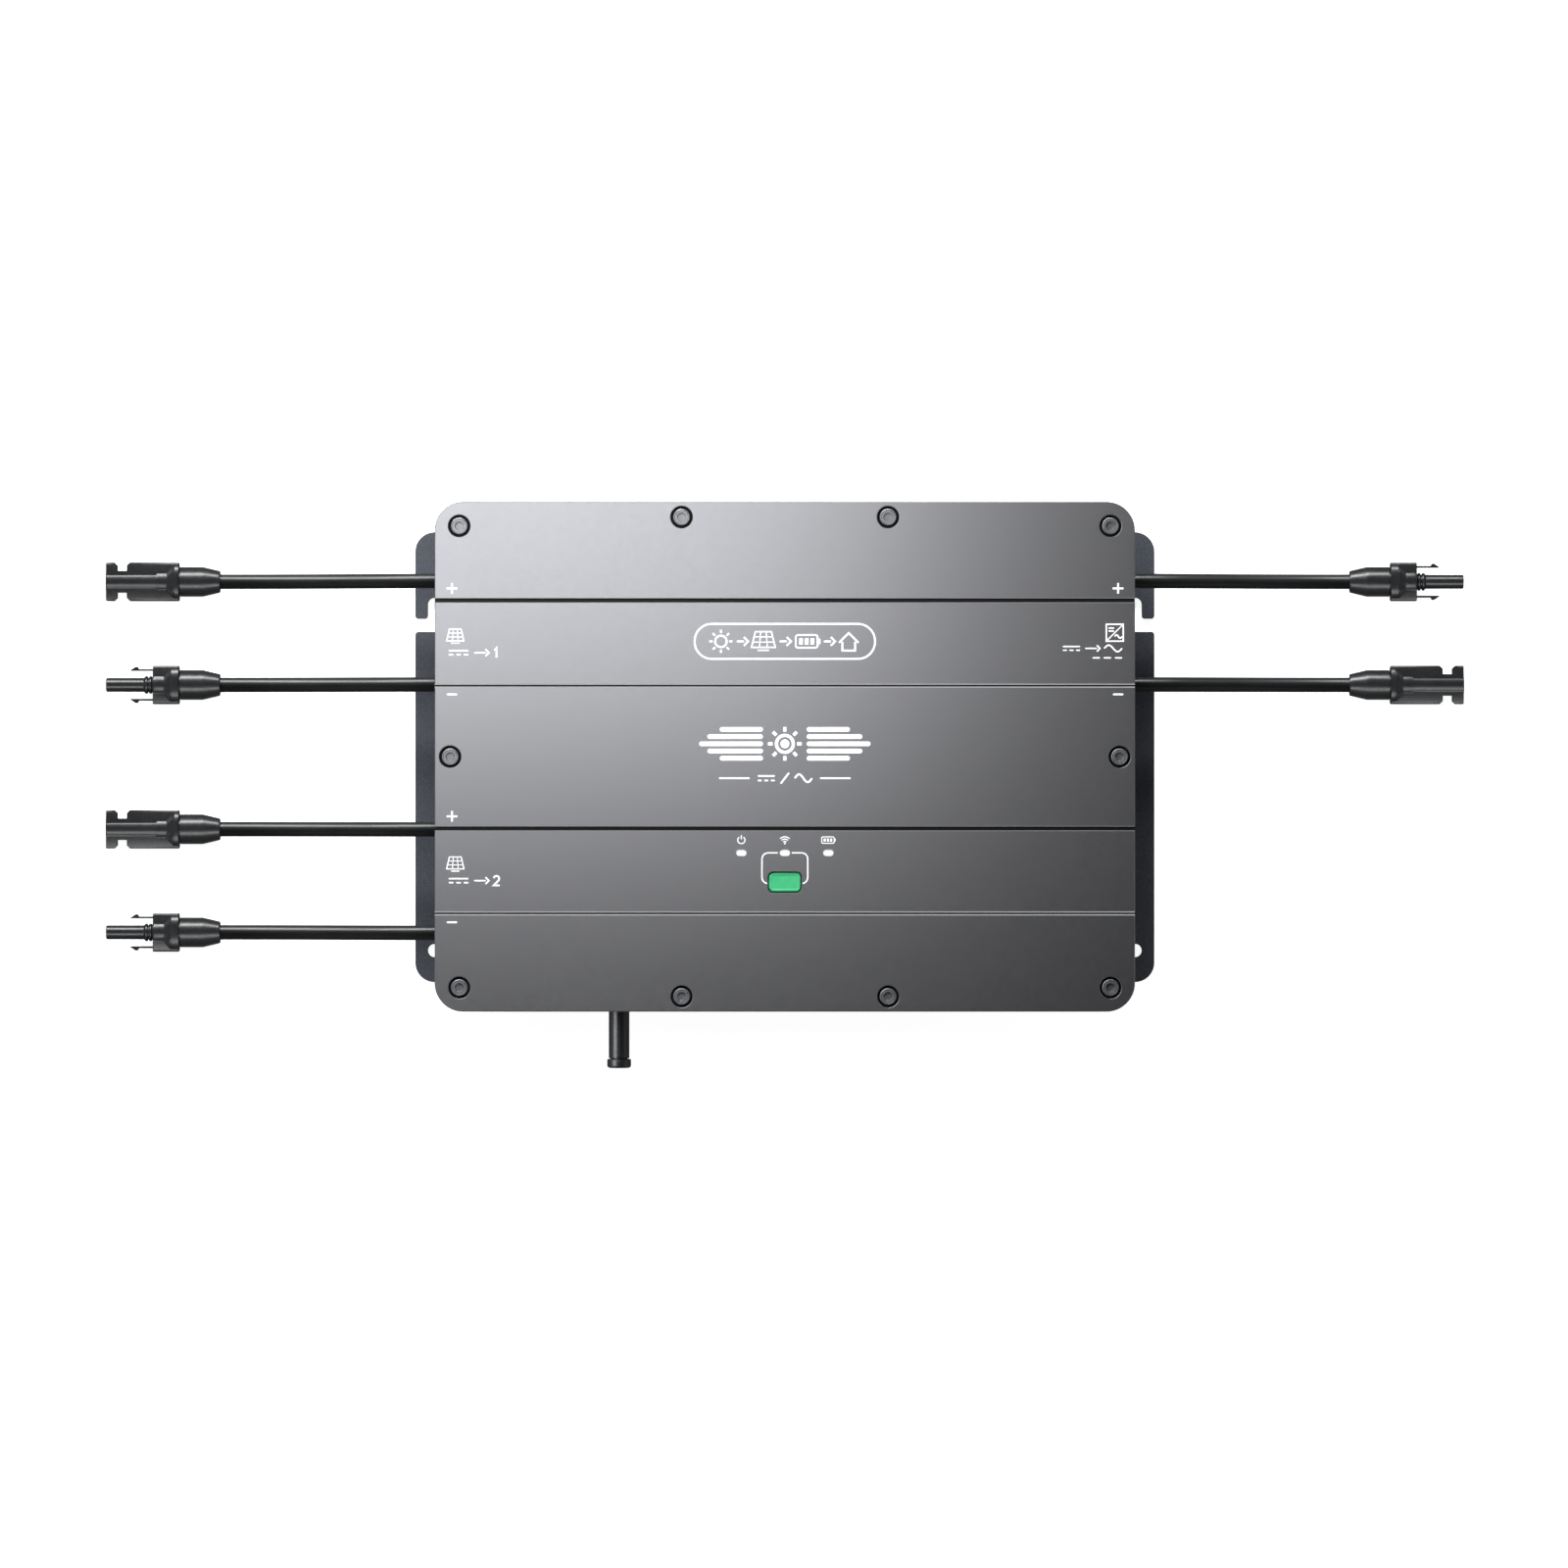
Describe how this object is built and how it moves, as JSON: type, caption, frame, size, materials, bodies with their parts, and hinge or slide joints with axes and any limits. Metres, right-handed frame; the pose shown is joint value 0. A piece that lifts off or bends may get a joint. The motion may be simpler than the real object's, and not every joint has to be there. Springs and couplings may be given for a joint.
{
  "type": "micro inverter",
  "caption": "Flat weatherproof solar electronics case on a wall bracket, with latching connector leads, a stub antenna, a push button and status lamps.",
  "frame": {"origin": "the middle of the bracket's flat wall face", "axes": "+Z is the front face's outward normal, +X is the viewer's right and +Y is up when the hub hangs on a wall; at rest it lies on its back"},
  "size_m": [0.666, 0.2757, 0.064],
  "materials": {
    "anodised": "grey anodised aluminium, fine bead-blasted satin",
    "casting": "dark grey cast aluminium, satin",
    "bracket": "dark blue-grey textured powder coat",
    "screw": "grey passivated steel",
    "zinc_steel": "zinc-plated steel",
    "antenna": "dark grey satin plastic",
    "connector": "black moulded plastic, fine spark-eroded grain",
    "cable": "black cross-linked cable jacket, satin",
    "rubber": "black rubber, matt",
    "button": "green translucent silicone rubber",
    "lens": "white diffusing plastic",
    "board": "green solder-masked circuit board",
    "copper": "enamelled copper winding",
    "spreader": "milled aluminium",
    "print": "white screen-printed ink",
    "contact": "tin-plated copper contact"
  },
  "bodies": {
    "hub": {"front_cover": "anodised", "rear_housing": "casting", "cover_gasket": "rubber", "cover_screw_01": "screw", "cover_screw_02": "screw", "cover_screw_03": "screw", "cover_screw_04": "screw", "cover_screw_05": "screw", "cover_screw_06": "screw", "cover_screw_07": "screw", "cover_screw_08": "screw", "cover_screw_09": "screw", "cover_screw_10": "screw", "mounting_bracket": "bracket", "bracket_screw_upper_left": "zinc_steel", "bracket_screw_lower_left": "zinc_steel", "bracket_screw_upper_right": "zinc_steel", "bracket_screw_lower_right": "zinc_steel", "antenna_jack": "zinc_steel", "antenna_rod": "antenna", "antenna_end_cap": "antenna", "battery_port": "connector", "vent_plug": "rubber", "light_guide": "lens", "button_board": "board", "main_board": "board", "inductor_pv1": "copper", "inductor_pv2": "copper", "heat_spreader": "spreader", "pv1_plus_gland": "rubber", "pv1_plus_lead": "cable", "pv1_plus_back_nut": "connector", "pv1_plus_socket_body": "connector", "pv1_minus_gland": "rubber", "pv1_minus_lead": "cable", "pv1_minus_back_nut": "connector", "pv1_minus_plug_body": "connector", "pv2_plus_gland": "rubber", "pv2_plus_lead": "cable", "pv2_plus_back_nut": "connector", "pv2_plus_socket_body": "connector", "pv2_minus_gland": "rubber", "pv2_minus_lead": "cable", "pv2_minus_back_nut": "connector", "pv2_minus_plug_body": "connector", "out_plus_gland": "rubber", "out_plus_lead": "cable", "out_plus_back_nut": "connector", "out_plus_plug_body": "connector", "out_minus_gland": "rubber", "out_minus_lead": "cable", "out_minus_back_nut": "connector", "out_minus_socket_body": "connector"},
    "pv1_minus_latch_a": {"pv1_minus_latch_a": "connector"},
    "pv1_minus_latch_b": {"pv1_minus_latch_b": "connector"},
    "pv2_minus_latch_a": {"pv2_minus_latch_a": "connector"},
    "pv2_minus_latch_b": {"pv2_minus_latch_b": "connector"},
    "out_plus_latch_a": {"out_plus_latch_a": "connector"},
    "out_plus_latch_b": {"out_plus_latch_b": "connector"},
    "push_button": {"push_button": "button"}
  },
  "joints": [
    {"name": "button_press", "type": "slide", "parent": "hub", "child": "push_button", "axis": [0, 0, -1], "range_m": [0, 0.001], "stiffness_N_per_m": 1200},
    {"name": "pv1_minus_latch_a_flex", "type": "hinge", "parent": "hub", "child": "pv1_minus_latch_a", "pos_m": [-0.3089, 0.0281, 0.0075], "axis": [0, 0, -1], "range_deg": [0, 8], "stiffness_Nm_per_rad": 0.3},
    {"name": "pv1_minus_latch_b_flex", "type": "hinge", "parent": "hub", "child": "pv1_minus_latch_b", "pos_m": [-0.3089, 0.0427, 0.0075], "axis": [0, 0, 1], "range_deg": [0, 8], "stiffness_Nm_per_rad": 0.3},
    {"name": "pv2_minus_latch_a_flex", "type": "hinge", "parent": "hub", "child": "pv2_minus_latch_a", "pos_m": [-0.3089, -0.0933, 0.0075], "axis": [0, 0, -1], "range_deg": [0, 8], "stiffness_Nm_per_rad": 0.3},
    {"name": "pv2_minus_latch_b_flex", "type": "hinge", "parent": "hub", "child": "pv2_minus_latch_b", "pos_m": [-0.3089, -0.0787, 0.0075], "axis": [0, 0, 1], "range_deg": [0, 8], "stiffness_Nm_per_rad": 0.3},
    {"name": "out_plus_latch_a_flex", "type": "hinge", "parent": "hub", "child": "out_plus_latch_a", "pos_m": [0.3089, 0.0933, 0.0075], "axis": [0, 0, -1], "range_deg": [0, 8], "stiffness_Nm_per_rad": 0.3},
    {"name": "out_plus_latch_b_flex", "type": "hinge", "parent": "hub", "child": "out_plus_latch_b", "pos_m": [0.3089, 0.0787, 0.0075], "axis": [0, 0, 1], "range_deg": [0, 8], "stiffness_Nm_per_rad": 0.3}
  ]
}
